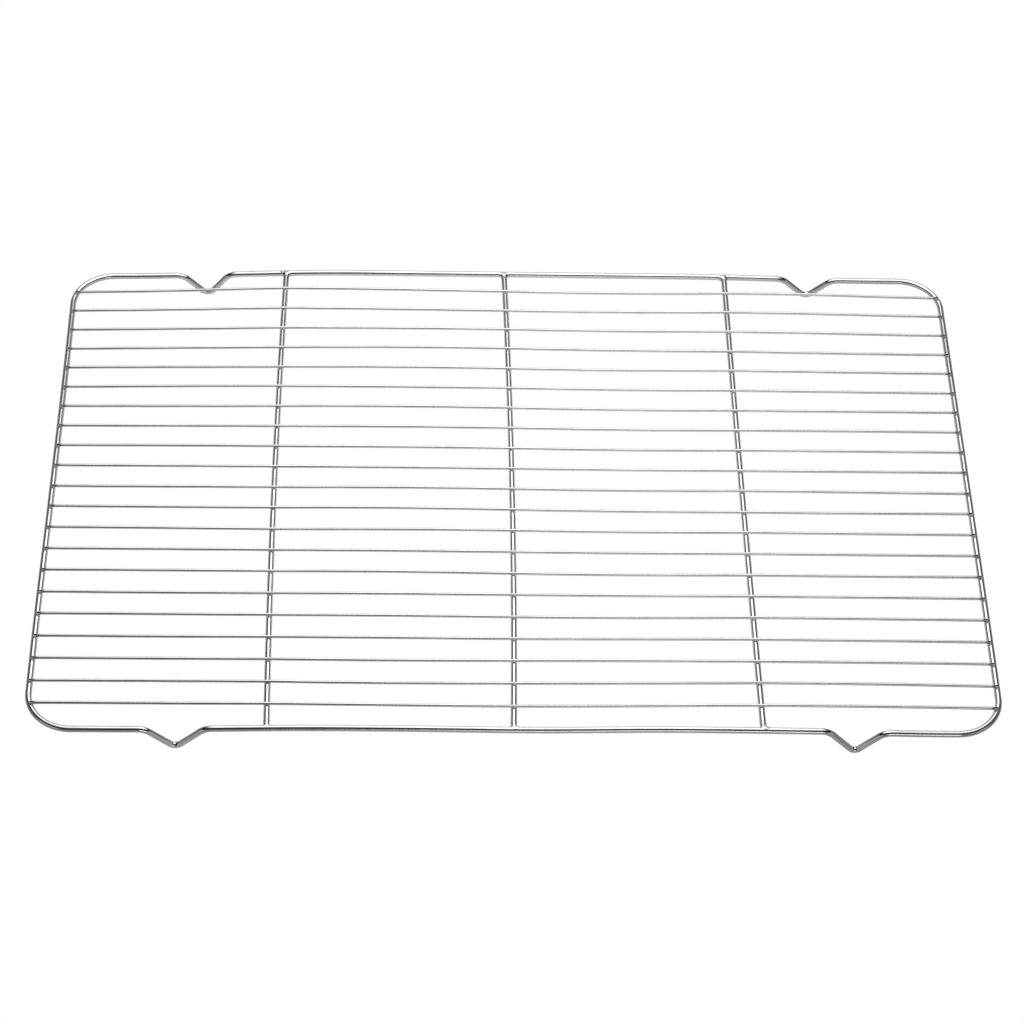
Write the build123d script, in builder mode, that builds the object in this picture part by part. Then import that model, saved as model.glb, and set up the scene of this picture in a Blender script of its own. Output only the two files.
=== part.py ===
from build123d import *
import os
from math import cos, radians, sqrt, tan

# Cooling rack of welded round wire, standing on four feet.
# Millimetres. X runs along the length, Y from front to back, Z up.
# Origin: the middle of the rack, on the surface it stands on.

# ---- driving dimensions ----
rack_length = 609.6          # outside of the frame wire, along X
rack_width = 406.4           # outside of the frame wire, along Y
frame_wire_d = 4.1           # frame and cross wires
deck_wire_d = 2.03           # the thin wires that carry the food
corner_bend_r = 28.0         # centreline radius of the four corners

foot_x = 212.5               # middle of each foot, left and right of the centre
foot_drop = 18.2             # from the rail's centreline down to the foot's
foot_leg_angle = 49.5        # each leg of the V against the horizontal
foot_shoulder_bend_r = 11.0  # centreline radius where a leg leaves the rail
foot_tip_bend_r = 3.6        # centreline radius at the bottom of the V

cross_wire_x = {
    "cross_wire_left": -156.5,
    "cross_wire_centre": -0.5,
    "cross_wire_right": 152.5,
}
cross_wire_sink = 0.6        # how far a cross wire's cut end is welded into the rail

deck_wire_count = 21
deck_wire_crowding = 3.8     # the gaps narrow towards the front: the middle wire is this far forward
deck_wire_sink = 0.3         # how far a deck wire is welded into what it crosses
deck_wire_setback = 0.5      # its cut end stays this far inside the frame's outer edge
deck_wire_end_chamfer = 0.2

# ---- worked out from them ----
frame_wire_r = frame_wire_d / 2
deck_wire_r = deck_wire_d / 2
rail_x = rack_length / 2 - frame_wire_r
rail_y = rack_width / 2 - frame_wire_r
rail_z = foot_drop + frame_wire_r
deck_z = rail_z + frame_wire_r + deck_wire_r - deck_wire_sink
mean_deck_pitch = 2 * rail_y / (deck_wire_count + 1)

foot_point_depth = foot_drop + foot_tip_bend_r * (1 / cos(radians(foot_leg_angle)) - 1)
foot_half_width = foot_point_depth / tan(radians(foot_leg_angle))


def frame_edge_x(y):
    """Distance from the centre to the frame's outer edge, across the rack at this y."""
    past_straight = abs(y) - (rail_y - corner_bend_r)
    if past_straight <= 0:
        return rack_length / 2
    outer_bend_r = corner_bend_r + frame_wire_r
    return rail_x - corner_bend_r + sqrt(outer_bend_r**2 - past_straight**2)


# ---- deck wires: straight, laid across the frame and the cross wires ----
deck_wires = []
for number in range(1, deck_wire_count + 1):
    even_y = number * mean_deck_pitch - rail_y
    wire_y = even_y - deck_wire_crowding * (1 - (even_y / rail_y) ** 2)
    wire_length = 2 * (frame_edge_x(wire_y) - deck_wire_setback)
    with BuildPart() as deck_wire:
        with Locations((0, wire_y, deck_z)):
            Cylinder(deck_wire_r, wire_length, rotation=(0, 90, 0))
        chamfer(deck_wire.edges().filter_by(GeomType.CIRCLE), deck_wire_end_chamfer)
    deck_wire.part.label = f"deck_wire_{number:02d}"
    deck_wires.append(deck_wire.part)

# ---- frame wire: one wire bent round the rack, with two feet in each long rail ----
with BuildPart() as frame_wire:
    with BuildLine() as quarter:
        FilletPolyline(
            (0, -rail_y, rail_z),
            (foot_x - foot_half_width, -rail_y, rail_z),
            (foot_x, -rail_y, rail_z - foot_point_depth),
            (foot_x + foot_half_width, -rail_y, rail_z),
            (rail_x, -rail_y, rail_z),
            (rail_x, 0, rail_z),
            radius=(foot_shoulder_bend_r, foot_tip_bend_r, foot_shoulder_bend_r, corner_bend_r),
        )
    with BuildSketch(Plane(origin=quarter.line @ 0, z_dir=quarter.line % 0)):
        Circle(frame_wire_r)
    sweep(path=quarter.wire())
    mirror(about=Plane.YZ)
    mirror(about=Plane.XZ)
    # the seats that the deck wires are welded down into
    add(deck_wires, mode=Mode.SUBTRACT)
frame_wire.part.label = "frame_wire"

# ---- cross wires: front to back between the long rails, level with them ----
cross_wire_length = 2 * (rail_y - frame_wire_r + cross_wire_sink)
cross_wires = []
for name, wire_x in cross_wire_x.items():
    with BuildPart() as cross_wire:
        with Locations((wire_x, 0, rail_z)):
            Cylinder(frame_wire_r, cross_wire_length, rotation=(90, 0, 0))
        # each end is saddled to the rail, and the deck wires have their seats
        add(frame_wire.part, mode=Mode.SUBTRACT)
        add(deck_wires, mode=Mode.SUBTRACT)
    cross_wire.part.label = name
    cross_wires.append(cross_wire.part)

# ---- one STEP file for each piece ----
os.makedirs("parts", exist_ok=True)
for piece in [frame_wire.part, *cross_wires, *deck_wires]:
    export_step(piece, f"parts/{piece.label}.step")
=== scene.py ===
from collections import namedtuple
from math import ceil, cos, pi, radians, sin, sqrt, tan

import bmesh
import bpy
import numpy as np
from mathutils import Matrix, Vector


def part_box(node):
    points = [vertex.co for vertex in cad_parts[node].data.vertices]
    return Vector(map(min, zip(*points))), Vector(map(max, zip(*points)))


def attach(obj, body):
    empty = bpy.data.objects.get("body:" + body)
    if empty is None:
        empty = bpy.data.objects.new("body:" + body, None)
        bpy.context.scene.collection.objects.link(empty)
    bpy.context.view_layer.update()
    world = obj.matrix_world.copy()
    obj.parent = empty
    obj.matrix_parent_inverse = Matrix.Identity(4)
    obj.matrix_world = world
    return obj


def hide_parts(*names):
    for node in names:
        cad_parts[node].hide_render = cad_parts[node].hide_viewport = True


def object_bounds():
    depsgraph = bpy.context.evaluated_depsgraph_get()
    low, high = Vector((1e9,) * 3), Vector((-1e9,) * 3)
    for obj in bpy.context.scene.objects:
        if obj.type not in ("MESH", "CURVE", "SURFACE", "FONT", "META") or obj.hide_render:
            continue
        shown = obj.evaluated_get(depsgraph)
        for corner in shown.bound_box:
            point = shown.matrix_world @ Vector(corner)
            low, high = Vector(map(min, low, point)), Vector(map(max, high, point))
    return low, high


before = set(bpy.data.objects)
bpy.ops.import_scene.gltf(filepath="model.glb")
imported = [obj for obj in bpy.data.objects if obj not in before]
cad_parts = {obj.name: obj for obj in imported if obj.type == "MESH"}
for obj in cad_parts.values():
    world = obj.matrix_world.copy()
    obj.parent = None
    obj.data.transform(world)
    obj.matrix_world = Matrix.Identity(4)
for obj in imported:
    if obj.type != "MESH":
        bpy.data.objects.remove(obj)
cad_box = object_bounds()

# A cooling rack of bright-plated round wire, welded at every crossing. Metres, in the CAD frame:
# X along the rack, Y from the front rail to the back rail, Z up, the feet on z = 0.

MM = 0.001
RANDOM = np.random.default_rng(21)

# ---------------------------------------------------------------- sizes, from the frame
rack_low, rack_high = cad_box
HALF_LENGTH = (rack_high.x - rack_low.x) / 2
HALF_WIDTH = (rack_high.y - rack_low.y) / 2

FRAME_R = 2.05 * MM              # frame and cross wires
DECK_R = 1.015 * MM              # thin deck wires
CORNER_BEND_R = 28 * MM
FOOT_X = 212.5 * MM
FOOT_LEG_ANGLE = radians(49.5)
FOOT_SHOULDER_BEND_R = 11 * MM
FOOT_TIP_BEND_R = 3.6 * MM
FOOT_HALF_REACH = 40 * MM        # more than a foot's half length along the rail
CROSS_SINK = 0.6 * MM            # how deep a cross wire's end is welded into the rail
DECK_SINK = 0.3 * MM             # how deep a deck wire is welded into what it crosses

RAIL_X = HALF_LENGTH - FRAME_R
RAIL_Y = HALF_WIDTH - FRAME_R
DECK_Z = rack_high.z - DECK_R
RAIL_Z = DECK_Z - DECK_R - FRAME_R + DECK_SINK
FOOT_DROP = RAIL_Z - FRAME_R

# places on the rack, as shares of its half length or half width
NEAR_A_RAIL = 0.9                # further out than this is at that side or end
ON_THE_FRONT_RAIL = 0.99         # further to the front than this is the front rail itself

CROSS_WIRES = ["cross_wire_left", "cross_wire_centre", "cross_wire_right"]
DECK_WIRES = sorted(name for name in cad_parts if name.startswith("deck_wire"))


def middle(node):
    low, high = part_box(node)
    return (low + high) / 2


def smoothstep(low, high, value):
    share = np.clip((np.asarray(value, float) - low) / (high - low), 0, 1)
    return share * share * (3 - 2 * share)


# ---------------------------------------------------------------- how the real wires stray
# Bent and welded wire is never quite true. These are this rack's own bends. A corner or a foot is
# named by its side (-1 left, 1 right) and its end (-1 front, 1 back). A pair of shares says where
# something starts and where it is complete, from 0 in the middle of the rack to 1 at a rail.
Sag = namedtuple("Sag", "depth along_start along_stop across_start")
CORNER_SAG = {
    (-1, 1): Sag(6.0 * MM, 0.34, 0.95, -0.3),
    (1, 1): Sag(2.2 * MM, 0.42, 0.85, 0.0),
    (-1, -1): Sag(2.8 * MM, 0.36, 0.85, 0.0),
    (1, -1): Sag(1.6 * MM, 0.62, 0.85, 0.0),
}
FRONT_DIP = 0.8 * MM             # the front rail dips near its butt weld
FRONT_DIP_AT = 0.04
FRONT_DIP_WIDTH = 0.17
FRONT_BOW = 0.7 * MM             # right of the dip it bows back
FRONT_BOW_RISE = (-0.05, 0.35)
FRONT_BOW_FALL = (0.75, 0.35)
FRONT_BOW_ACROSS = (0.9, 0.97)
SIDE_RAIL_BOW = {-1: 0.9 * MM, 1: 0.25 * MM}      # the side rails bow inwards
SIDE_RAIL_BOW_FADE = (0.1, 0.7)                   # but not near the front
CROSS_BOW = {
    "cross_wire_left": -1.86 * MM,
    "cross_wire_centre": 2.25 * MM,
    "cross_wire_right": -0.46 * MM,
}
CROSS_BOW_MIDDLE = 0.2           # this share of it moves the middle, and the rest moves the ends back
CROSS_OFFSET = {
    "cross_wire_left": 0.25 * MM,
    "cross_wire_centre": 0.1 * MM,
    "cross_wire_right": -0.3 * MM,
}
CROSS_LEAN = -0.6 * MM           # how far a cross wire's back end lies right, and its front end left
# Each foot was bent by eye. How far its left shoulder, its tip and its right shoulder are to the right
# of true, how far its tip leans back, how much too shallow it is, and the radius of its tip's bend.
FootStray = namedtuple("FootStray", "left tip right lean lift tip_bend_r")
FOOT_STRAY = {
    (-1, -1): FootStray(0.3 * MM, 1.5 * MM, 3.1 * MM, 0, 0, 4.4 * MM),
    (1, -1): FootStray(-1.5 * MM, -0.9 * MM, -0.9 * MM, 0, 0, 3.8 * MM),
    (-1, 1): FootStray(2.0 * MM, 1.7 * MM, -0.3 * MM, -2.1 * MM, 0, 5.5 * MM),
    (1, 1): FootStray(-1.6 * MM, -1.3 * MM, -1.2 * MM, 0, 2.4 * MM, 4.6 * MM),
}
DECK_WAVE = 0.55 * MM            # deck wires are pulled back and forward between the outer cross wires
DECK_WAVE_LENGTH = 310 * MM
FRONT_DECK_WAVE = 0.7 * MM       # and those near the front and the back in other ways
FRONT_DECK_WAVE_LENGTH = 600 * MM
FRONT_DECK_WAVE_AT = -60 * MM
FRONT_DECK_WAVE_FADE = (0.35, 0.75)
BACK_DECK_WAVE = 1.3 * MM
BACK_DECK_WAVE_LENGTH = 400 * MM
BACK_DECK_WAVE_AT = -45 * MM
BACK_DECK_WAVE_FADE = (0.6, 0.9)
BACK_DECK_WAVE_END = (0.5, 0.97)                  # it dies out towards the side rails
DECK_WANDER = 0.3 * MM           # each one's own wandering, back and forward
DECK_WANDER_STEPS = (1, 2, 3)    # half waves from the middle of the rack to a side rail
DECK_RIPPLE = 0.12 * MM          # and how far it dips here and there
DECK_RIPPLE_STEP = 7
LEAST_SHARE = 0.35               # the least that a wire's own wandering can be, as a share of the most


def droop(x, y):
    """How far the rack hangs down here."""
    along, back = x / RAIL_X, y / RAIL_Y
    dip = np.exp(-(((along - FRONT_DIP_AT) / FRONT_DIP_WIDTH) ** 2))
    total = FRONT_DIP * dip * smoothstep(0, 1, -back)
    for (side, end), sag in CORNER_SAG.items():
        share = smoothstep(sag.along_start, sag.along_stop, side * along)
        total = total + sag.depth * (share * smoothstep(sag.across_start, 1, end * back))
    return total


def settle(points):
    """Moves points of the true rack to where the drooping one has them. The feet stay on the floor."""
    points = np.array(points, float)
    height = np.clip((points[:, 2] - FRAME_R) / (RAIL_Z - FRAME_R), 0, 1)
    points[:, 2] -= droop(points[:, 0], points[:, 1]) * height
    along, back = points[:, 0] / RAIL_X, points[:, 1] / RAIL_Y
    bow = smoothstep(*FRONT_BOW_RISE, along) * smoothstep(*FRONT_BOW_FALL, along)
    points[:, 1] += FRONT_BOW * bow * smoothstep(*FRONT_BOW_ACROSS, -back)
    return points


def rail_bow(side, y):
    """How far a side rail lies to the right of its true line."""
    back = y / RAIL_Y
    return -side * SIDE_RAIL_BOW[side] * (1 - back**2) * (1 - smoothstep(*SIDE_RAIL_BOW_FADE, -back))


class DeckWire:
    """One thin wire: where it lies, and how it strays from straight."""

    def __init__(self, node):
        low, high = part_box(node)
        self.node = node
        self.y = (low.y + high.y) / 2
        self.end = (high.x - low.x) / 2
        self.phases = RANDOM.uniform(0, 2 * pi, 4)
        self.shares = RANDOM.uniform(LEAST_SHARE, 1, 4)

    def stray(self, x):
        """How far it lies behind its true line, where it is x along the rack."""
        x = np.asarray(x, float)
        back = self.y / RAIL_Y
        wave = -DECK_WAVE * np.sin(2 * pi * x / DECK_WAVE_LENGTH)
        wave = np.where(np.abs(x) < DECK_WAVE_LENGTH / 2, wave, 0)
        turn = 2 * pi * (x - BACK_DECK_WAVE_AT) / BACK_DECK_WAVE_LENGTH
        back_wave = -BACK_DECK_WAVE * np.sin(turn)
        back_wave = back_wave * (1 - smoothstep(*BACK_DECK_WAVE_END, np.abs(x) / RAIL_X))
        wave = wave + (back_wave - wave) * smoothstep(*BACK_DECK_WAVE_FADE, back)
        turn = 2 * pi * (x - FRONT_DECK_WAVE_AT) / FRONT_DECK_WAVE_LENGTH
        front_wave = -FRONT_DECK_WAVE * np.cos(turn)
        front = smoothstep(*FRONT_DECK_WAVE_FADE, -back)
        wander = sum(
            share / step * np.sin(step * x * pi / RAIL_X + phase)
            for step, share, phase in zip(DECK_WANDER_STEPS, self.shares, self.phases)
        )
        return wave * (1 - front) + front_wave * front + DECK_WANDER * wander

    def place(self, x):
        """The points of its centreline at these x."""
        x = np.asarray(x, float)
        turn = DECK_RIPPLE_STEP * x * pi / RAIL_X + self.phases[3]
        ripple = DECK_RIPPLE * self.shares[3] * np.sin(turn)
        # straight from weld to weld, so it hangs down like what it is welded to
        cross_xs = [float(cross_x(node, self.y)) for node in CROSS_WIRES]
        welds = np.array([-RAIL_X] + cross_xs + [RAIL_X])
        sag = np.interp(x, welds, droop(welds, self.y))
        return np.stack([x, self.y + self.stray(x), DECK_Z - sag - np.abs(ripple)], 1)


def cross_x(node, y):
    """Where a cross wire lies at this y: it bows sideways between the rails, and leans."""
    back = np.asarray(y, float) / RAIL_Y
    bow = CROSS_BOW[node] * (CROSS_BOW_MIDDLE - back**2)
    return middle(node).x + CROSS_OFFSET[node] + bow + CROSS_LEAN * back


deck_wires = [DeckWire(node) for node in DECK_WIRES]


# ---------------------------------------------------------------- mesh making
END_BEVEL = 0.25 * MM
TURN_STEP = radians(4)           # the most that a bent wire turns from one ring to the next
FEWEST_BEND_RINGS = 3


def new_piece(name, points, faces, flat_from=None, uv=None):
    """A mesh object with smooth faces, apart from those from number flat_from on."""
    mesh = bpy.data.meshes.new(name)
    mesh.from_pydata(np.asarray(points).tolist(), [], faces)
    smooth = np.ones(len(mesh.polygons), bool)
    if flat_from is not None:
        smooth[flat_from:] = False
    mesh.polygons.foreach_set("use_smooth", smooth)
    if uv is not None:
        layer = mesh.uv_layers.new(name="along_wire")
        layer.data.foreach_set("uv", np.asarray(uv, np.float32).ravel())
    mesh.validate()
    mesh.update()
    piece = bpy.data.objects.new(name, mesh)
    bpy.context.scene.collection.objects.link(piece)
    return piece


def unit(vectors):
    return vectors / np.linalg.norm(vectors, axis=-1, keepdims=True)


def turned_frames(path, closed):
    """Two directions across the path at each point, carried along it without twist."""
    ahead = np.roll(path, -1, 0) - np.roll(path, 1, 0)
    if not closed:
        ahead[0] = path[1] - path[0]
        ahead[-1] = path[-1] - path[-2]
    ahead = unit(ahead)
    side = np.cross(ahead[0], (0, 0, 1))
    sides = []
    for direction in ahead:
        side = side - direction * (side @ direction)
        side = side / np.linalg.norm(side)
        sides.append(side)
    sides = np.array(sides)
    return sides, np.cross(ahead, sides)


def tube(name, path, radius, around, closed=False, end_bevel=END_BEVEL):
    """A round wire along the path, with bevelled, flat ends unless it is closed."""
    path = np.asarray(path, float)
    radius = np.full(len(path), radius) if np.ndim(radius) == 0 else np.asarray(radius, float)
    if not closed:
        # the bevel at each end is two more rings
        first, last = unit(path[0] - path[1]), unit(path[-1] - path[-2])
        path = np.concatenate([[path[0]], [path[0] - first * end_bevel], path[1:-1],
                               [path[-1] - last * end_bevel], [path[-1]]])
        radius = np.concatenate([[radius[0] - end_bevel], radius[:1], radius[1:-1],
                                 radius[-1:], [radius[-1] - end_bevel]])
    across, over = turned_frames(path, closed)
    angle = 2 * pi * np.arange(around) / around
    cosines, sines = np.cos(angle)[None, :, None], np.sin(angle)[None, :, None]
    ring = cosines * across[:, None] + sines * over[:, None]
    points = (path[:, None] + ring * radius[:, None, None]).reshape(-1, 3)

    rings = len(path)
    spans = rings if closed else rings - 1
    length = np.concatenate([[0], np.cumsum(np.linalg.norm(np.diff(path, axis=0), axis=1))])
    if closed:
        length = np.append(length, length[-1] + np.linalg.norm(path[0] - path[-1]))
    i, j = np.meshgrid(np.arange(spans), np.arange(around), indexing="ij")
    i2, j2 = (i + 1) % rings, (j + 1) % around
    quads = np.stack([i * around + j, i * around + j2, i2 * around + j2, i2 * around + j], -1)
    turn = 2 * pi * FRAME_R / around
    uv = np.stack([
        np.stack([length[i], j * turn], -1), np.stack([length[i], (j + 1) * turn], -1),
        np.stack([length[i + 1], (j + 1) * turn], -1), np.stack([length[i + 1], j * turn], -1),
    ], 2).reshape(-1, 2)
    faces = quads.reshape(-1, 4).tolist()
    flat_from = len(faces)
    if not closed:
        faces += [list(range(around))[::-1], list(range((rings - 1) * around, rings * around))]
        spread = np.stack([np.cos(angle), np.sin(angle)], 1) * DECK_R
        uv = np.concatenate([uv, spread, spread])
    return new_piece(name, points, faces, flat_from, uv)


def bent(corners, radii, step):
    """Points along a closed path of straight runs, with each corner rounded to its radius."""
    corners = np.asarray(corners, float)
    bends = []
    for n, (corner, radius) in enumerate(zip(corners, radii)):
        back = unit(corners[n - 1] - corner)
        on = unit(corners[(n + 1) % len(corners)] - corner)
        half = np.arccos(np.clip(back @ on, -1, 1)) / 2
        reach = radius / tan(half)
        centre = corner + unit(back + on) * radius / sin(half)
        start, stop = corner + back * reach, corner + on * reach
        sweep = pi - 2 * half
        from_start, from_stop = start - centre, stop - centre
        arc = [
            centre + (sin((1 - s) * sweep) * from_start + sin(s * sweep) * from_stop) / sin(sweep)
            for s in np.linspace(0, 1, max(FEWEST_BEND_RINGS, ceil(sweep / TURN_STEP)))
        ]
        bends.append((start, arc, stop))
    path = []
    for n, (_, arc, stop) in enumerate(bends):
        path += arc
        next_start = bends[(n + 1) % len(bends)][0]
        run = next_start - stop
        pieces = max(1, ceil(np.linalg.norm(run) / step))
        path += [stop + run * k / pieces for k in range(1, pieces)]
    return np.array(path)


# ---------------------------------------------------------------- the frame wire
THICK_AROUND = 32                # points round the frame wire and the cross wires
FRAME_STEP = 3 * MM              # between rings where the wire is straight
BUTT_X = 0.4 * MM                # where the frame wire's two ends meet in the front rail
BUTT_SWELL = 0.12 * MM
BUTT_WIDTH = 0.7 * MM
BUTT_REACH = 8 * MM              # within this of the front rail's middle the rings are closer together
BUTT_RINGS = 60


def long_rail(end):
    """The corners of a long rail's path from left to right, with its two feet."""
    y = end * RAIL_Y
    depth = FOOT_DROP + FOOT_TIP_BEND_R * (1 / cos(FOOT_LEG_ANGLE) - 1)
    half = depth / tan(FOOT_LEG_ANGLE)
    corners, radii = [], []
    for side in (-1, 1):
        stray = FOOT_STRAY[side, end]
        x = side * FOOT_X
        corners += [
            (x - half + stray.left, y, RAIL_Z),
            (x + stray.tip, y + stray.lean, RAIL_Z - depth),
            (x + half + stray.right, y, RAIL_Z),
        ]
        radii += [FOOT_SHOULDER_BEND_R, stray.tip_bend_r, FOOT_SHOULDER_BEND_R]
    return corners, radii


def level_feet(path):
    """Sets each foot's lowest point to its height: on the floor, or lifted a little."""
    for (side, end), stray in FOOT_STRAY.items():
        foot = np.abs(path[:, 0] - side * FOOT_X) < FOOT_HALF_REACH
        foot &= end * path[:, 1] > NEAR_A_RAIL * RAIL_Y
        below = RAIL_Z - path[foot, 2]
        path[foot, 2] = RAIL_Z - below * (FOOT_DROP - stray.lift) / below.max()
    return path


def frame_path():
    front, front_radii = long_rail(-1)
    back, back_radii = long_rail(1)
    corners = (front + [(RAIL_X, -RAIL_Y, RAIL_Z), (RAIL_X, RAIL_Y, RAIL_Z)]
               + back[::-1] + [(-RAIL_X, RAIL_Y, RAIL_Z), (-RAIL_X, -RAIL_Y, RAIL_Z)])
    radii = front_radii + [CORNER_BEND_R] * 2 + back_radii[::-1] + [CORNER_BEND_R] * 2
    return level_feet(bent(corners, radii, FRAME_STEP))


def make_frame_wire():
    path = frame_path()
    on_front = path[:, 1] < -ON_THE_FRONT_RAIL * RAIL_Y
    # closer rings at the butt weld, so that its swelling is round
    near = on_front & (np.abs(path[:, 0]) < BUTT_REACH)
    fine = np.linspace(path[near, 0].min(), path[near, 0].max(), BUTT_RINGS)[1:-1]
    first = int(np.argmax(near))
    last = first + int(near.sum())
    extra = np.stack([fine, np.full_like(fine, -RAIL_Y), np.full_like(fine, RAIL_Z)], 1)
    path = np.concatenate([path[:first + 1], extra, path[last - 1:]])
    on_front = path[:, 1] < -ON_THE_FRONT_RAIL * RAIL_Y
    swell = BUTT_SWELL * (np.exp(-((path[:, 0] - BUTT_X) / BUTT_WIDTH) ** 2) * on_front)
    path[:, 1] += swell          # so the outer side of the weld is flush with the wire
    for side in (-1, 1):
        at_side = side * path[:, 0] > NEAR_A_RAIL * RAIL_X
        path[at_side, 0] += rail_bow(side, path[at_side, 1])
    return tube("frame_wire_bent", settle(path), FRAME_R + swell, THICK_AROUND, closed=True)


# ---------------------------------------------------------------- cross wires and deck wires
COLLAR_FROM_RAIL = 3.2 * MM      # a swelling where the cross wire was upset against the front rail
COLLAR_SWELL = 0.12 * MM
COLLAR_WIDTH = 0.6 * MM
COLLAR_PART = 9 * MM             # how much of the cross wire has closer rings for it
COLLAR_RINGS = 37
CROSS_RINGS = 110                # along the rest of a cross wire
DECK_END_SHORT = 1.3 * MM        # the deck wires' ends were cut a little short of their full length
DECK_END_BEVEL = 0.45 * MM
DECK_RINGS = 140
THIN_AROUND = 20


def make_cross_wire(node):
    end = RAIL_Y - FRAME_R + CROSS_SINK
    front_part = np.linspace(-end, -end + COLLAR_PART, COLLAR_RINGS)[:-1]
    y = np.concatenate([front_part, np.linspace(-end + COLLAR_PART, end, CROSS_RINGS)])
    path = settle(np.stack([cross_x(node, y), y, np.full_like(y, RAIL_Z)], 1))
    from_rail = y + RAIL_Y - FRAME_R
    collar = np.exp(-((from_rail - COLLAR_FROM_RAIL) / COLLAR_WIDTH) ** 2)
    return tube(node + "_drawn", path, FRAME_R + COLLAR_SWELL * collar, THICK_AROUND)


def make_deck_wire(wire):
    reach = wire.end - DECK_END_SHORT
    left, right = (side * reach + rail_bow(side, wire.y) for side in (-1, 1))
    path = wire.place(np.linspace(left, right, DECK_RINGS))
    return tube(wire.node + "_drawn", path, DECK_R, THIN_AROUND, end_bevel=DECK_END_BEVEL)


# ---------------------------------------------------------------- welds
BALL_FINENESS = 4
WELD_INSET = 0.06 * MM           # a bead keeps this far inside the wires where it isn't a fillet
WELD_END_INSET = 0.05 * MM       # and this far short of a deck wire's end
BISECTIONS = 14                  # how many times a bead's skin is found more closely
LUMP_WAVES = 4
LUMP_TURN = 900                  # radians for each metre, give or take
CROSSING_FILLET = (1.0 * MM, 1.5 * MM)
CROSSING_LIMIT = 2.6 * MM        # no point of a bead is further than this from its origin
CROSSING_STEPS = 48              # in which its skin is looked for, from the origin to the limit
CROSSING_LUMPS = 0.04 * MM
TEE_LIMIT = 5.2 * MM
TEE_STEPS = 72
TEE_LUMPS = 0.06 * MM
TEE_END = 0.2                    # in wire radii: from the rail's skin to a cross wire's rounded end
# Each cross wire's welds to the front and back rails: the fillet's size, and how much more of it there
# is on the right than in the middle.
TEES = {
    ("cross_wire_left", -1): (1.3 * MM, 0.0),
    ("cross_wire_centre", -1): (2.0 * MM, 0.5),
    ("cross_wire_right", -1): (2.3 * MM, 0.6),
    ("cross_wire_left", 1): (2.5 * MM, 0.1),
    ("cross_wire_centre", 1): (2.2 * MM, -0.1),
    ("cross_wire_right", 1): (2.4 * MM, -0.5),
}
# the lumps of each bead are drawn from one of these seeds plus the bead's number along its rail or wire
SIDE_WELD_SEED = 100
CROSS_WELD_SEED = 300
TEE_WELD_SEED = 500
ALONG_Y = np.array([0.0, 1.0, 0.0])


def ball_directions(fineness):
    """Directions spread evenly over a ball, and the faces between them."""
    ball = bmesh.new()
    bmesh.ops.create_icosphere(ball, subdivisions=fineness, radius=1)
    directions = np.array([v.co for v in ball.verts])
    faces = [[v.index for v in f.verts] for f in ball.faces]
    ball.free()
    return unit(directions), faces


BALL, BALL_FACES = ball_directions(BALL_FINENESS)


def blended(a, b, reach):
    """The lesser of two distances, rounded where they are within reach of each other."""
    near = np.clip(reach - np.abs(a - b), 0, None) / reach
    return np.minimum(a, b) - near * near * reach / 4


def bead(distance, limit, steps):
    """Points on a closed skin round the origin, where distance is 0 or at most limit away."""
    high = np.full(len(BALL), limit)
    low = np.zeros(len(BALL))
    found = np.zeros(len(BALL), bool)
    for k in range(1, steps + 1):
        reach = limit * k / steps
        outside = distance(BALL * reach) > 0
        new = outside & ~found
        high[new] = reach
        low[new] = limit * (k - 1) / steps
        found |= new
    for _ in range(BISECTIONS):
        mid = (low + high) / 2
        outside = distance(BALL * mid[:, None]) > 0
        high = np.where(outside & found, mid, high)
        low = np.where(~outside & found, mid, low)
    return BALL * np.where(found, (low + high) / 2, limit)[:, None]


def lumps(points, size, seed):
    """A smooth random swelling or hollow, at most size high."""
    draw = np.random.default_rng(seed)
    total = 0
    for _ in range(LUMP_WAVES):
        wave = draw.normal(0, LUMP_TURN, 3)
        total = total + np.sin(points @ wave + draw.uniform(0, 2 * pi))
    return size * total / LUMP_WAVES


def crossing_bead(along, side, end_reach, fillet, seed):
    """The weld under a deck wire, round the point where it meets a thick wire that runs along.

    The deck wire ends end_reach further on, on that side.
    """
    depth = FRAME_R - DECK_SINK          # from the deck wire's underside to the thick wire's axis

    def distance(p):
        thin = np.hypot(p[:, 1], p[:, 2] - DECK_R) - DECK_R
        thin = np.maximum(thin, side * p[:, 0] - end_reach)
        off_axis = p + (0, 0, depth)
        beside = off_axis - np.outer(off_axis @ along, along)
        thick = np.linalg.norm(beside, axis=1) - FRAME_R
        return blended(thin, thick, fillet) + WELD_INSET + lumps(p, CROSSING_LUMPS, seed)

    return bead(distance, CROSSING_LIMIT, CROSSING_STEPS)


def tee_bead(fillet, skew, seed):
    """The weld where a cross wire, which comes from +Y, ends on a rail along X."""
    def distance(p):
        rail = np.hypot(p[:, 1] + FRAME_R, p[:, 2]) - FRAME_R
        cross = np.hypot(p[:, 0], p[:, 2]) - FRAME_R
        past_end = np.minimum(p[:, 1] - TEE_END * FRAME_R, 0)
        cross = np.hypot(cross + FRAME_R, past_end) - FRAME_R
        reach = fillet * (1 + skew * np.tanh(p[:, 0] / FRAME_R))
        return blended(rail, cross, reach) + WELD_INSET + lumps(p, TEE_LUMPS, seed)

    return bead(distance, TEE_LIMIT, TEE_STEPS)


def make_beads(name, beads):
    faces = [[v + len(BALL) * n for v in face] for n in range(len(beads)) for face in BALL_FACES]
    return new_piece(name, np.concatenate(beads), faces)


def rail_crossing(y):
    """Where the side rail lies at this y, and the direction that it runs in there."""
    past = abs(y) - (RAIL_Y - CORNER_BEND_R)
    if past <= 0:
        return RAIL_X, ALONG_Y
    inward = sqrt(CORNER_BEND_R**2 - past**2)
    x = RAIL_X - CORNER_BEND_R + inward
    return x, unit(np.array([-past * np.sign(y), inward, 0.0]))


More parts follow.
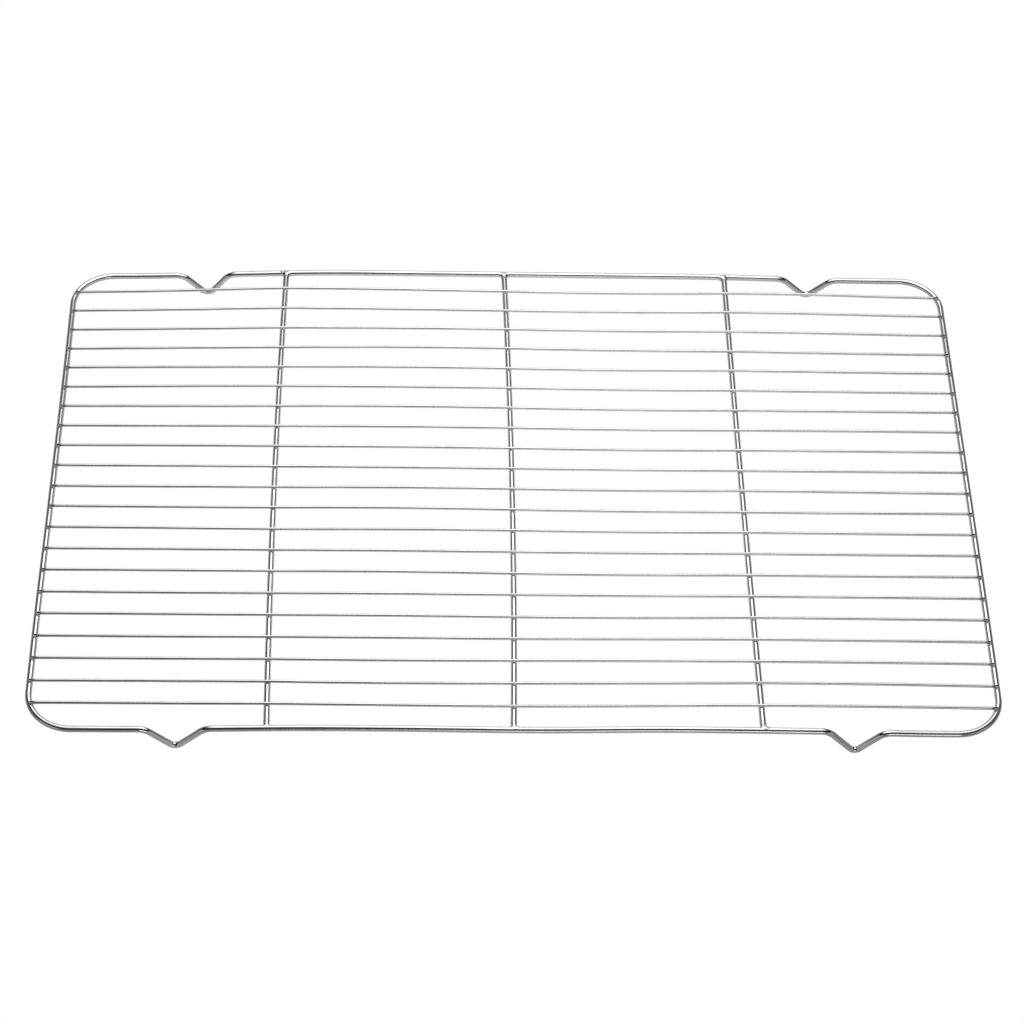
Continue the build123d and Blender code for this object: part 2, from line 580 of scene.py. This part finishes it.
def weld_place(wire, x):
    """The point at the deck wire's underside, where it is x along the rack."""
    return wire.place([x])[0] - (0, 0, DECK_R)


def make_side_welds(side, name):
    beads = []
    for n, wire in enumerate(deck_wires):
        x, along = rail_crossing(wire.y)
        along = along * (side, 1, 1)
        end_reach = wire.end - DECK_END_SHORT - x - WELD_END_INSET
        fillet = RANDOM.uniform(*CROSSING_FILLET)
        points = crossing_bead(along, side, end_reach, fillet, SIDE_WELD_SEED + n)
        beads.append(points + weld_place(wire, side * x + rail_bow(side, wire.y)))
    return make_beads(name, beads)


def make_cross_welds(node):
    beads = []
    for n, wire in enumerate(deck_wires):
        fillet = RANDOM.uniform(*CROSSING_FILLET)
        # the deck wire's end is too far away to matter
        points = crossing_bead(ALONG_Y, 1, RAIL_X, fillet, CROSS_WELD_SEED + n)
        beads.append(points + weld_place(wire, float(cross_x(node, wire.y))))
    return make_beads(node + "_welds", beads)


def make_tee_welds():
    beads = []
    for n, ((node, end), (fillet, skew)) in enumerate(TEES.items()):
        # the bead is made at a front rail, and turned half round for a back one
        points = tee_bead(fillet, -end * skew, TEE_WELD_SEED + n) * (-end, -end, 1)
        y = end * (RAIL_Y - FRAME_R)
        beads.append(points + settle([[float(cross_x(node, y)), y, RAIL_Z]])[0])
    return make_beads("tee_welds", beads)


# ---------------------------------------------------------------- materials
# noise scales are in waves for each metre, about
CLOUD_SCALE = 45
HAZE_SCALE = 220
DIE_LINE_SCALE = (25, 2600, 1)   # along the wire, round it, and unused
DIE_LINE_HEIGHT = 0.02 * MM
UNEVEN_SCALE = 260
UNEVEN_HEIGHT = 0.25 * MM
NOISE_LOW, NOISE_HIGH = 0.3, 0.7                  # most of a noise's values lie between these
CLOUD_LOW, CLOUD_HIGH = 0.35, 0.65


def material(name):
    made = bpy.data.materials.new(name)
    made.use_nodes = True
    return made, made.node_tree.nodes, made.node_tree.links, made.node_tree.nodes["Principled BSDF"]


def noise(nodes, links, vector, scale, detail=2):
    node = nodes.new("ShaderNodeTexNoise")
    node.inputs["Scale"].default_value = scale
    node.inputs["Detail"].default_value = detail
    links.new(vector, node.inputs["Vector"])
    return node.outputs["Fac"]


def ranged(nodes, links, value, low, high, start=NOISE_LOW, stop=NOISE_HIGH):
    node = nodes.new("ShaderNodeMapRange")
    node.inputs["From Min"].default_value = start
    node.inputs["From Max"].default_value = stop
    node.inputs["To Min"].default_value = low
    node.inputs["To Max"].default_value = high
    links.new(value, node.inputs["Value"])
    return node.outputs["Result"]


def plated(name, dark, light, smooth, rough, streaks, dents):
    """Bright plating on drawn wire: faint clouding, die lines along it, and a slightly uneven skin."""
    made, nodes, links, shader = material(name)
    shader.inputs["Metallic"].default_value = 1
    where = nodes.new("ShaderNodeTexCoord")
    cloud = noise(nodes, links, where.outputs["Object"], CLOUD_SCALE, 4)
    ramp = nodes.new("ShaderNodeValToRGB")
    ramp.color_ramp.elements[0].position = CLOUD_LOW
    ramp.color_ramp.elements[1].position = CLOUD_HIGH
    ramp.color_ramp.elements[0].color = (*dark, 1)
    ramp.color_ramp.elements[1].color = (*light, 1)
    links.new(cloud, ramp.inputs["Fac"])
    links.new(ramp.outputs["Color"], shader.inputs["Base Color"])

    haze = noise(nodes, links, where.outputs["Object"], HAZE_SCALE, 3)
    links.new(ranged(nodes, links, haze, smooth, rough), shader.inputs["Roughness"])

    stretch = nodes.new("ShaderNodeMapping")
    stretch.inputs["Scale"].default_value = DIE_LINE_SCALE
    links.new(where.outputs["UV"], stretch.inputs["Vector"])
    die_lines = noise(nodes, links, stretch.outputs["Vector"], 1, 2)
    uneven = noise(nodes, links, where.outputs["Object"], UNEVEN_SCALE, 1)
    first = nodes.new("ShaderNodeBump")
    first.inputs["Strength"].default_value = streaks
    first.inputs["Distance"].default_value = DIE_LINE_HEIGHT
    links.new(die_lines, first.inputs["Height"])
    second = nodes.new("ShaderNodeBump")
    second.inputs["Strength"].default_value = dents
    second.inputs["Distance"].default_value = UNEVEN_HEIGHT
    links.new(uneven, second.inputs["Height"])
    links.new(first.outputs["Normal"], second.inputs["Normal"])
    links.new(second.outputs["Normal"], shader.inputs["Normal"])
    return made


CHROME_THICK = plated(
    "plated_thick_wire", dark=(0.50, 0.505, 0.51), light=(0.57, 0.575, 0.58),
    smooth=0.14, rough=0.21, streaks=0.3, dents=0.2,
)
CHROME_THIN = plated(
    "plated_thin_wire", dark=(0.49, 0.495, 0.50), light=(0.56, 0.565, 0.57),
    smooth=0.14, rough=0.22, streaks=0.3, dents=0.2,
)
CHROME_WELD = plated(
    "plated_weld", dark=(0.47, 0.47, 0.475), light=(0.55, 0.55, 0.555),
    smooth=0.15, rough=0.24, streaks=0.1, dents=0.3,
)


def finish_piece(piece, surface, slot, *nodes):
    piece.data.materials.append(surface)
    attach(piece, "root")
    if nodes:
        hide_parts(*nodes)


# ---------------------------------------------------------------- the rack
finish_piece(make_frame_wire(), CHROME_THICK, "frame_and_cross_wire", "frame_wire")
for node in CROSS_WIRES:
    finish_piece(make_cross_wire(node), CHROME_THICK, "frame_and_cross_wire", node)
    finish_piece(make_cross_welds(node), CHROME_WELD, "deck_wire")
for wire in deck_wires:
    finish_piece(make_deck_wire(wire), CHROME_THIN, "deck_wire", wire.node)
finish_piece(make_side_welds(-1, "left_rail_welds"), CHROME_WELD, "deck_wire")
finish_piece(make_side_welds(1, "right_rail_welds"), CHROME_WELD, "deck_wire")
finish_piece(make_tee_welds(), CHROME_WELD, "frame_and_cross_wire")


# ---------------------------------------------------------------- studio
# A white floor, and around it what bright plating mirrors: a big softbox over the rack and behind it,
# a light panel in front to the right, the lit table that the rack stands on, and a dim room.
FLOOR_REACH = 12 * HALF_LENGTH
SOFTBOX_HEIGHT = 1.05
SOFTBOX_MIDDLE = (0.03, 0.56)
SOFTBOX_HALF = (0.59, 0.71)      # to where its light has fallen to half, each way
SOFTBOX_FALLOFF = 0.45           # its edges fade this far each way
SOFTBOX_LIGHT = 2.8
FRONT_PANEL_WAY = (radians(9.5), radians(10))     # to the right of the front, and up
FRONT_PANEL_SIZE = (0.95, 1.5)
FRONT_PANEL_DISTANCE = 3.0
FRONT_PANEL_LIGHT = 1.8
TABLE_REACH = 10 * HALF_LENGTH
TABLE_UNDER_FLOOR = 1 * MM
TABLE_LIGHT = 0.87               # in the middle, besides the light that is all over
TABLE_LIGHT_SLOPE = (-0.34, 0.95)                 # more for each metre along X and Y
TABLE_SLOPE_REACH = 0.6          # as far from the middle as the slopes go on
TABLE_R = 0.33                   # where its light has fallen to half
TABLE_FALLOFF = 0.35             # it fades this far each way
TABLE_RIM_LIGHT = 0.14           # all over
# the room's light. Its node's own colour is 0.8 of white, so the room is that much dimmer than this
ROOM_FRONT = 0.26                # and overhead
ROOM_SIDE = 0.28
ROOM_FRONT_SIDE = 0.9            # to the left and right of the front
ROOM_BACK = 1.4
# where one goes over into the other
ROOM_SIDE_FADE = (0.36, 0.64)                     # by how much of the direction is sideways
ROOM_FRONT_SIDE_FADE = (-0.15, -0.45)             # by how much of it is backwards
ROOM_BACK_FADE = (radians(132), radians(168))     # by its angle, up and over from the front horizon


def plane(name, half_x, half_y, z):
    corners = [(-half_x, -half_y, z), (half_x, -half_y, z), (half_x, half_y, z), (-half_x, half_y, z)]
    return new_piece(name, corners, [(0, 1, 2, 3)])


def glowing(piece, strength):
    """Gives a staged plane a light of its own. strength(nodes, links, place) makes its brightness."""
    made, nodes, links, shader = material(piece.name + "_light")
    where = nodes.new("ShaderNodeTexCoord")
    place = nodes.new("ShaderNodeSeparateXYZ")
    links.new(where.outputs["Object"], place.inputs[0])
    glow = nodes.new("ShaderNodeEmission")
    links.new(strength(nodes, links, place), glow.inputs["Strength"])
    links.new(glow.outputs[0], nodes["Material Output"].inputs["Surface"])
    nodes.remove(shader)
    piece.data.materials.append(made)


def computed(nodes, links, kind, *values):
    node = nodes.new("ShaderNodeMath")
    node.operation = kind
    for socket, value in zip(node.inputs, values):
        if isinstance(value, (int, float)):
            socket.default_value = value
        else:
            links.new(value, socket)
    return node.outputs[0]


def faded(nodes, links, value, start, stop, low=0, high=1):
    """Goes smoothly from low, where value is start, to high, where it is stop."""
    result = ranged(nodes, links, value, low, high, start, stop)
    result.node.interpolation_type = "SMOOTHSTEP"
    return result


def make_floor():
    floor = plane("floor", FLOOR_REACH, FLOOR_REACH, 0)
    made, nodes, links, shader = material("white_floor")
    shader.inputs["Base Color"].default_value = (0.02, 0.02, 0.02, 1)
    shader.inputs["Specular IOR Level"].default_value = 0
    shader.inputs["Emission Color"].default_value = (1, 1, 1, 1)
    shader.inputs["Emission Strength"].default_value = 1
    floor.data.materials.append(made)
    floor.visible_glossy = False


def table_light(nodes, links, place):
    sloped = TABLE_LIGHT
    reach = TABLE_SLOPE_REACH
    for axis, slope in zip("XY", TABLE_LIGHT_SLOPE):
        near = ranged(nodes, links, place.outputs[axis], -reach, reach, -reach, reach)
        sloped = computed(nodes, links, "MULTIPLY_ADD", near, slope, sloped)
    x_squared, y_squared = (
        computed(nodes, links, "POWER", place.outputs[axis], 2) for axis in "XY"
    )
    squared = computed(nodes, links, "ADD", x_squared, y_squared)
    from_middle = computed(nodes, links, "SQRT", squared)
    rim = faded(nodes, links, from_middle, TABLE_R - TABLE_FALLOFF, TABLE_R + TABLE_FALLOFF)
    inner = computed(nodes, links, "SUBTRACT", 1, rim)
    pool = computed(nodes, links, "MULTIPLY", sloped, inner)
    return computed(nodes, links, "ADD", TABLE_RIM_LIGHT, pool)


def softbox_light(nodes, links, place):
    light = SOFTBOX_LIGHT
    for axis, centre, half in zip("XY", SOFTBOX_MIDDLE, SOFTBOX_HALF):
        off = computed(nodes, links, "SUBTRACT", place.outputs[axis], centre)
        off = computed(nodes, links, "ABSOLUTE", off)
        inside = faded(nodes, links, off, half + SOFTBOX_FALLOFF, half - SOFTBOX_FALLOFF)
        light = computed(nodes, links, "MULTIPLY", light, inside)
    return light


def seen_in_reflections_only(piece):
    piece.visible_camera = False
    piece.visible_shadow = False
    piece.visible_diffuse = False


def make_lights():
    table = plane("table", TABLE_REACH, TABLE_REACH, -TABLE_UNDER_FLOOR)
    glowing(table, table_light)
    seen_in_reflections_only(table)
    reach = max(SOFTBOX_HALF) + SOFTBOX_FALLOFF + max(SOFTBOX_MIDDLE)
    softbox = plane("softbox", reach, reach, SOFTBOX_HEIGHT)
    glowing(softbox, softbox_light)
    seen_in_reflections_only(softbox)

    turn, rise = FRONT_PANEL_WAY
    way = Vector((sin(turn) * cos(rise), -cos(turn) * cos(rise), sin(rise)))
    panel = bpy.data.lights.new("front_panel", "AREA")
    panel.shape = "RECTANGLE"
    panel.size, panel.size_y = FRONT_PANEL_SIZE
    panel.energy = FRONT_PANEL_LIGHT * pi * panel.size * panel.size_y
    lamp = bpy.data.objects.new("front_panel", panel)
    lamp.location = way * FRONT_PANEL_DISTANCE
    lamp.rotation_euler = way.to_track_quat("Z", "Y").to_euler()
    lamp.visible_camera = False
    bpy.context.scene.collection.objects.link(lamp)


def make_room():
    """The dim room that the plating mirrors. Straight to the camera it is as white as the floor."""
    world = bpy.data.worlds.new("room")
    bpy.context.scene.world = world
    world.use_nodes = True
    nodes, links = world.node_tree.nodes, world.node_tree.links
    nodes.clear()
    where = nodes.new("ShaderNodeTexCoord")
    way = nodes.new("ShaderNodeSeparateXYZ")
    links.new(where.outputs["Generated"], way.inputs[0])
    sideways = computed(nodes, links, "ABSOLUTE", way.outputs["X"])
    side = faded(nodes, links, sideways, *ROOM_SIDE_FADE)
    not_side = computed(nodes, links, "SUBTRACT", 1, side)
    forwards = computed(nodes, links, "MULTIPLY", way.outputs["Y"], -1)
    angle = computed(nodes, links, "ARCTAN2", way.outputs["Z"], forwards)
    back = faded(nodes, links, angle, *ROOM_BACK_FADE)
    back = computed(nodes, links, "MULTIPLY", back, not_side)
    not_back = computed(nodes, links, "SUBTRACT", 1, back)

    side_light = faded(
        nodes, links, way.outputs["Y"], *ROOM_FRONT_SIDE_FADE, ROOM_SIDE, ROOM_FRONT_SIDE
    )
    more = computed(nodes, links, "SUBTRACT", side_light, ROOM_FRONT)
    more = computed(nodes, links, "MULTIPLY", side, more)
    light = computed(nodes, links, "ADD", more, ROOM_FRONT)
    light = computed(nodes, links, "MULTIPLY", light, not_back)
    back_light = computed(nodes, links, "MULTIPLY", back, ROOM_BACK)
    light = computed(nodes, links, "ADD", light, back_light)

    mirrored = nodes.new("ShaderNodeBackground")
    links.new(light, mirrored.inputs["Strength"])
    plain = nodes.new("ShaderNodeBackground")
    plain.inputs["Color"].default_value = (1, 1, 1, 1)
    path = nodes.new("ShaderNodeLightPath")
    chosen = nodes.new("ShaderNodeMixShader")
    links.new(path.outputs["Is Camera Ray"], chosen.inputs["Fac"])
    links.new(mirrored.outputs[0], chosen.inputs[1])
    links.new(plain.outputs[0], chosen.inputs[2])
    output = nodes.new("ShaderNodeOutputWorld")
    links.new(chosen.outputs[0], output.inputs["Surface"])


# ---------------------------------------------------------------- camera
CAMERA_LENS = 110.4
CAMERA_SENSOR = 36
CAMERA_SEES_TO = 100
CAMERA_AZIMUTH = radians(-2.71)
CAMERA_ELEVATION = radians(48.39)
CAMERA_ROLL = radians(2.57)
CAMERA_DISTANCE = 2.0584
CAMERA_AIM_FORWARD = 21.7 * MM   # the picture's middle, in front of the rack's
CAMERA_AIM_LEFT = 0.25 * MM      # and left of it


def make_camera():
    camera = bpy.data.objects.new("camera", bpy.data.cameras.new("camera"))
    bpy.context.scene.collection.objects.link(camera)
    camera.data.lens = CAMERA_LENS
    camera.data.sensor_width = CAMERA_SENSOR
    camera.data.clip_end = CAMERA_SEES_TO
    back = Vector((
        sin(CAMERA_AZIMUTH) * cos(CAMERA_ELEVATION),
        -cos(CAMERA_AZIMUTH) * cos(CAMERA_ELEVATION),
        sin(CAMERA_ELEVATION),
    ))
    level = Vector((cos(CAMERA_AZIMUTH), sin(CAMERA_AZIMUTH), 0))
    over = back.cross(level)
    right = level * cos(CAMERA_ROLL) + over * sin(CAMERA_ROLL)
    up = back.cross(right)
    aim = Vector((-CAMERA_AIM_LEFT, -CAMERA_AIM_FORWARD, RAIL_Z))
    place = aim + back * CAMERA_DISTANCE
    camera.matrix_world = Matrix.Translation(place) @ Matrix((right, up, back)).transposed().to_4x4()
    bpy.context.scene.camera = camera


make_floor()
make_lights()
make_room()
make_camera()
bpy.context.scene.view_settings.view_transform = "Standard"
